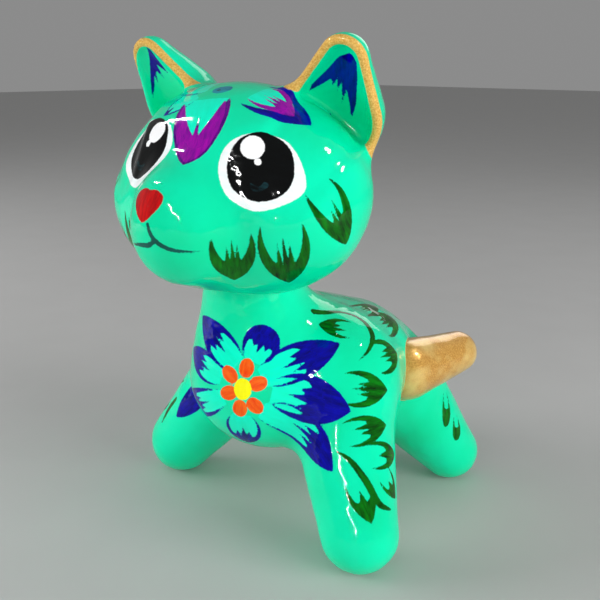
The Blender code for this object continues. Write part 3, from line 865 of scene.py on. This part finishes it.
class Nodes:
    """Short calls for a material's nodes."""

    def __init__(self, name):
        self.material = bpy.data.materials.new(name)
        self.material.use_nodes = True
        self.tree = self.material.node_tree
        self.shader = self.tree.nodes["Principled BSDF"]

    def make(self, kind, inputs=(), **settings):
        node = self.tree.nodes.new(kind)
        for key, value in settings.items():
            setattr(node, key, value)
        for key, value in dict(inputs).items():
            self.feed(node.inputs[key], value)
        return node

    def feed(self, socket, value):
        if isinstance(value, bpy.types.NodeSocket):
            self.tree.links.new(value, socket)
        else:
            socket.default_value = value

    def math(self, operation, a, b):
        return self.make("ShaderNodeMath", {0: a, 1: b}, operation=operation).outputs[0]

    def remap(self, value, low, high, to_low=0.0, to_high=1.0):
        return self.make("ShaderNodeMapRange", {"Value": value, "From Min": low, "From Max": high,
                                                "To Min": to_low, "To Max": to_high}).outputs[0]

    def mix(self, share, a, b):
        node = self.make("ShaderNodeMix", data_type="RGBA")
        colours = [s for s in node.inputs if s.type == "RGBA"]
        self.feed(node.inputs[0], share)
        self.feed(colours[0], a)
        self.feed(colours[1], b)
        return [s for s in node.outputs if s.type == "RGBA"][0]

    def attribute(self, name, output="Fac"):
        return self.make("ShaderNodeAttribute", attribute_name=name).outputs[output]

    def place(self):
        """The point in the piece's own frame, in millimetres."""
        at = self.make("ShaderNodeTexCoord").outputs["Object"]
        return self.make("ShaderNodeVectorMath", {0: at, "Scale": 1 / MM}, operation="SCALE").outputs[0]

    def stretched(self, vector, by):
        return self.make("ShaderNodeVectorMath", {0: vector, 1: by}, operation="MULTIPLY").outputs[0]

    def noise(self, vector, scale, detail=2.0, roughness=0.5):
        return self.make("ShaderNodeTexNoise", {"Vector": vector, "Scale": scale, "Detail": detail,
                                                "Roughness": roughness}).outputs["Fac"]

    def bump(self, height, distance, strength=1.0, normal=None):
        inputs = {"Height": height, "Distance": distance, "Strength": strength}
        if normal:
            inputs["Normal"] = normal
        return self.make("ShaderNodeBump", inputs).outputs["Normal"]


WAVE_SCALE = 0.22                 # the varnish's slow waves, per mm
WAVE_DEPTH = 0.5                  # (mm)
PAINT_RELIEF = 0.03               # how far a stroke stands proud of the ground (mm)
EDGE_SOFTNESS = 0.09              # a stroke fades out over this much each side of its outline (mm)
EDGE_RAGGEDNESS = 0.14            # and its outline strays by this much (mm)
GRAIN = (2.6, 4.0, 0.75)          # fine grain of the gold paint: noise scale per mm, detail, roughness


def opaque(colour):
    return (*colour, 1.0)


def varnish(nodes, place, relief=None):
    """A poured gloss varnish: sharp highlights, broken a little by its slow waves."""
    nodes.shader.inputs["Roughness"].default_value = 0.05
    nodes.shader.inputs["Specular IOR Level"].default_value = 0.28
    waves = nodes.noise(place, WAVE_SCALE, 2.0, 0.5)
    normal = nodes.bump(waves, WAVE_DEPTH * MM, 0.42)
    if relief:
        normal = nodes.bump(relief, PAINT_RELIEF * MM, 0.6, normal)
    nodes.feed(nodes.shader.inputs["Normal"], normal)


def painted_clay(name, layers):
    """Turquoise ground with the painted layers over it, in the order of PAINTS."""
    nodes = Nodes(name)
    place = nodes.place()
    drift = nodes.remap(nodes.noise(place, 0.05, 2.0), 0.3, 0.7)
    colour = nodes.mix(drift, opaque(srgb(0, 216, 156)), opaque(srgb(0, 234, 180)))
    brush = nodes.attribute("brush", "Vector")
    streaks = nodes.noise(nodes.stretched(brush, (0.22, 1.0, 1.0)), 1.0, 3.0, 0.6)
    streaks = nodes.remap(streaks, 0.3, 0.7)
    grain = nodes.remap(nodes.noise(place, *GRAIN), 0.35, 0.65)
    ragged = nodes.remap(nodes.noise(place, 1.6, 2.0), 0.0, 1.0, -EDGE_RAGGEDNESS, EDGE_RAGGEDNESS)
    cover = None
    for layer, (dark, light, coverage) in PAINTS.items():
        if layer not in layers:
            continue
        edge = nodes.math("ADD", nodes.attribute(layer), ragged)
        share = nodes.remap(edge, EDGE_SOFTNESS, -EDGE_SOFTNESS, 0.0, coverage)
        marks = grain if layer == "gold" else streaks
        colour = nodes.mix(share, colour, nodes.mix(marks, opaque(dark), opaque(light)))
        # The paler petal grounds and the teal crescent in the eyes add no relief
        if layer not in ("glow", "low_teal_crescent"):
            cover = share if cover is None else nodes.math("MAXIMUM", cover, share)
    nodes.feed(nodes.shader.inputs["Base Color"], colour)
    varnish(nodes, place, cover)
    return nodes.material


def gold_paint(name):
    nodes = Nodes(name)
    place = nodes.place()
    grain = nodes.noise(place, *GRAIN)
    patches = nodes.noise(place, 0.16, 2.0)
    colour = nodes.mix(nodes.remap(grain, 0.35, 0.65),
                       opaque(srgb(196, 132, 44)), opaque(srgb(236, 186, 96)))
    colour = nodes.mix(nodes.remap(patches, 0.45, 0.75), colour, opaque(srgb(244, 212, 130)))
    nodes.feed(nodes.shader.inputs["Base Color"], colour)
    nodes.shader.inputs["Metallic"].default_value = 0.35
    nodes.shader.inputs["Roughness"].default_value = 0.3
    nodes.shader.inputs["Coat Weight"].default_value = 0.8
    nodes.shader.inputs["Coat Roughness"].default_value = 0.05
    waves = nodes.bump(nodes.noise(place, WAVE_SCALE, 3.0, 0.55), WAVE_DEPTH * MM, 0.55)
    nodes.feed(nodes.shader.inputs["Normal"], nodes.bump(grain, 0.05 * MM, 0.5, waves))
    return nodes.material


def wire_metal(name):
    nodes = Nodes(name)
    place = nodes.place()
    drawn = nodes.noise(nodes.stretched(place, (6.0, 6.0, 0.5)), 1.0, 3.0, 0.6)
    nodes.feed(nodes.shader.inputs["Base Color"],
               nodes.mix(drawn, opaque(srgb(120, 116, 110)), opaque(srgb(178, 176, 172))))
    nodes.feed(nodes.shader.inputs["Roughness"], nodes.remap(drawn, 0.2, 0.8, 0.3, 0.5))
    nodes.shader.inputs["Metallic"].default_value = 1.0
    nodes.feed(nodes.shader.inputs["Normal"], nodes.bump(drawn, 0.02 * MM, 0.5))
    return nodes.material


def stand_surface(name):
    nodes = Nodes(name)
    grain = nodes.noise(nodes.place(), 0.04, 3.0)
    nodes.feed(nodes.shader.inputs["Base Color"],
               nodes.mix(grain, opaque(srgb(192, 192, 191)), opaque(srgb(198, 198, 197))))
    nodes.shader.inputs["Roughness"].default_value = 0.75
    return nodes.material


# ---------------------------------------------------------------- pieces

def add_body():
    points, quads = skin(body_form, BODY_GRID, SKIN_STEP)
    body = mesh_object("body_skin", points, quads)
    body.location.y = FIGURE_SHIFT * MM
    canvas = Canvas(body_form, BODY_MIDDLE, points)
    paint_flower(canvas)
    for side in (1, -1):
        paint_garland(canvas, side)
    paint_back(canvas)
    canvas.field("gold", tail_form(points) - GOLD_COLLAR)
    canvas.store(body.data)
    body.data.materials.append(painted_clay("painted_clay_body", canvas.layers))
    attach(body, "figure")
    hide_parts("torso_shell", "front_left_leg", "front_right_leg",
                "rear_left_leg", "rear_right_leg")
    return body


def add_head():
    points, quads = skin(head_form, HEAD_GRID, SKIN_STEP)
    head = mesh_object("head_skin", points, quads)
    canvas = Canvas(head_form, (0, 0, 0), points)
    paint_face(canvas)
    paint_cheeks(canvas)
    paint_crown(canvas)
    paint_ears(canvas)
    canvas.store(head.data)
    head.data.transform(Matrix.Rotation(HEAD_TURN, 4, "Z"))
    head.location = Vector((0, PIVOT_Y + FIGURE_SHIFT, HEAD_Z)) * MM
    head.data.materials.append(painted_clay("painted_clay_head", canvas.layers))
    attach(head, "head")
    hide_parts("head_shell", "left_ear", "right_ear", "crown_plug")
    return head


def add_tail():
    points, quads = skin(tail_form, TAIL_GRID, SKIN_STEP)
    tail = mesh_object("tail_skin", points, quads)
    tail.location.y = FIGURE_SHIFT * MM
    tail.data.materials.append(gold_paint("gold_paint_tail"))
    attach(tail, "figure")
    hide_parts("tail")
    return tail


def dress_wires():
    metal = wire_metal("steel_wire")
    for node in ("neck_crossbar", "neck_hook", "hanging_ring", "crown_eye", "crown_washer"):
        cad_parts[node].data.materials.clear()
        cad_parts[node].data.materials.append(metal)


# ---------------------------------------------------------------- studio

CAMERA_PLACE = Vector((153.3, -140.05, 113.0))
CAMERA_TARGET = Vector((2.4, -1.25, 55.4))
CAMERA_LENS = 51.1
STUDIO_MIDDLE = Vector((0, 0, 0.06))
WORLD_STRENGTH = 0.26
FLOOR_REACH = 3.0

# Name, bearing and rise (degrees), distance (m), size (m), power (W), turn (degrees) and whether
# it is one of the narrow lights that only shine in the varnish, or one that only lights the form.
SOFTBOXES = (
    ("left_wall", -46, 12, 0.75, (0.50, 0.30), 3.9, 0, False),
    ("right_wall", 102, 12, 0.75, (0.50, 0.30), 4.7, 0, False),
    ("front_wall", 30, 6, 0.80, (0.50, 0.22), 1.9, 0, False),
    ("ceiling", 30, 78, 0.75, (0.45, 0.45), 0.2, 0, False),
    ("window", -66, 42, 0.60, (0.13, 0.014), 2.0, 60, True),
    ("strip", 19, 26, 0.62, (0.008, 0.36), 2.0, 60, True),
    ("rear_spot", 128, 52, 0.60, (0.05, 0.03), 0.8, 0, True),
    ("rear_edge", -160, 30, 0.70, (0.30, 0.40), 0.7, 0, True),
)


def add_camera():
    data = bpy.data.cameras.new("camera")
    data.lens = CAMERA_LENS
    data.sensor_width = 36.0
    data.clip_start = 0.01
    camera = bpy.data.objects.new("camera", data)
    camera.location = CAMERA_PLACE * MM
    camera.rotation_euler = (CAMERA_TARGET - CAMERA_PLACE).to_track_quat("-Z", "Y").to_euler()
    bpy.context.scene.collection.objects.link(camera)
    bpy.context.scene.camera = camera


def add_softbox(name, bearing, rise, away, size, power, turn, shines):
    """A rectangular light that looks at the figure's middle from this direction."""
    data = bpy.data.lights.new(name, "AREA")
    data.shape = "RECTANGLE"
    data.size, data.size_y = size
    data.energy = power
    light = bpy.data.objects.new(name, data)
    light.visible_glossy = shines
    light.visible_diffuse = not shines
    outward = Vector(direction(bearing, rise))
    light.location = STUDIO_MIDDLE + outward * away
    facing = (-outward).to_track_quat("-Z", "Y") @ Quaternion((0, 0, 1), math.radians(turn))
    light.rotation_euler = facing.to_euler()
    bpy.context.scene.collection.objects.link(light)


def add_studio():
    scene = bpy.context.scene
    world = bpy.data.worlds.new("studio")
    world.use_nodes = True
    background = world.node_tree.nodes["Background"]
    background.inputs["Color"].default_value = (1, 1, 1, 1)
    background.inputs["Strength"].default_value = WORLD_STRENGTH
    scene.world = world
    scene.view_settings.view_transform = "Standard"
    for softbox in SOFTBOXES:
        add_softbox(*softbox)


def add_floor():
    mesh = bpy.data.meshes.new("floor")
    corners = [(-1, -1), (1, -1), (1, 1), (-1, 1)]
    mesh.from_pydata([(x * FLOOR_REACH, y * FLOOR_REACH, 0) for x, y in corners], [], [(0, 1, 2, 3)])
    floor = bpy.data.objects.new("floor", mesh)
    bpy.context.scene.collection.objects.link(floor)
    floor.data.materials.append(stand_surface("stand_surface"))


add_camera()
add_studio()
add_floor()
add_body()
add_head()
add_tail()
dress_wires()
